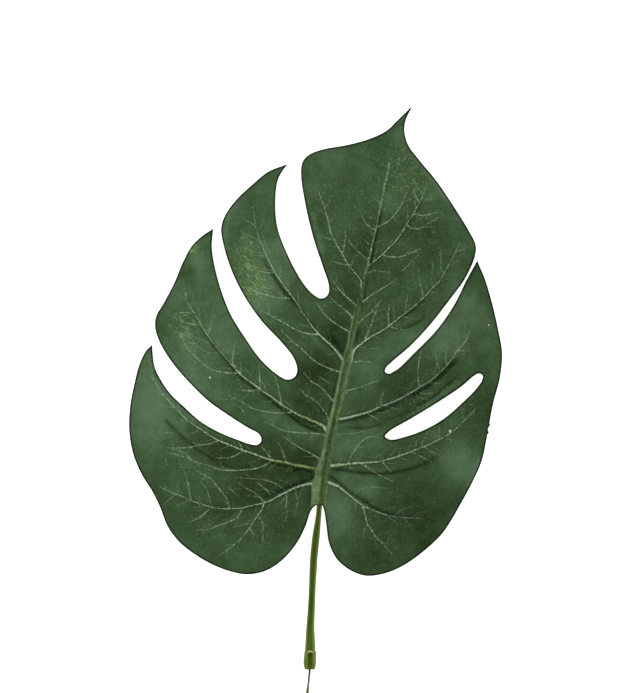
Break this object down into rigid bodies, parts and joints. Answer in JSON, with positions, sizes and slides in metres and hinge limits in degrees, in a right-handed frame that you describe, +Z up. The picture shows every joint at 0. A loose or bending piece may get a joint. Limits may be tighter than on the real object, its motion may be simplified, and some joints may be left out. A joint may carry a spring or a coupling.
{
  "type": "artificial monstera leaf",
  "caption": "Split monstera leaf of pressed green cloth with embossed veins, on a moulded stem with a wire core; lies face up.",
  "frame": {"origin": "middle of the leaf's bounding box, on the surface that the leaf lies on", "axes": "+Z up from that surface, +Y from the stem towards the leaf's tip, +X to the leaf's right as seen from above"},
  "size_m": [0.1862, 0.3008, 0.0214],
  "materials": {
    "printed_cloth": "matt printed cloth, dark heat-cut edge",
    "stem_plastic": "satin moulded plastic with lengthwise seam",
    "coated_wire": "dull green coating on steel"
  },
  "bodies": {
    "root": {"blade": "printed_cloth", "stem": "stem_plastic", "core_wire": "coated_wire"}
  },
  "joints": []
}
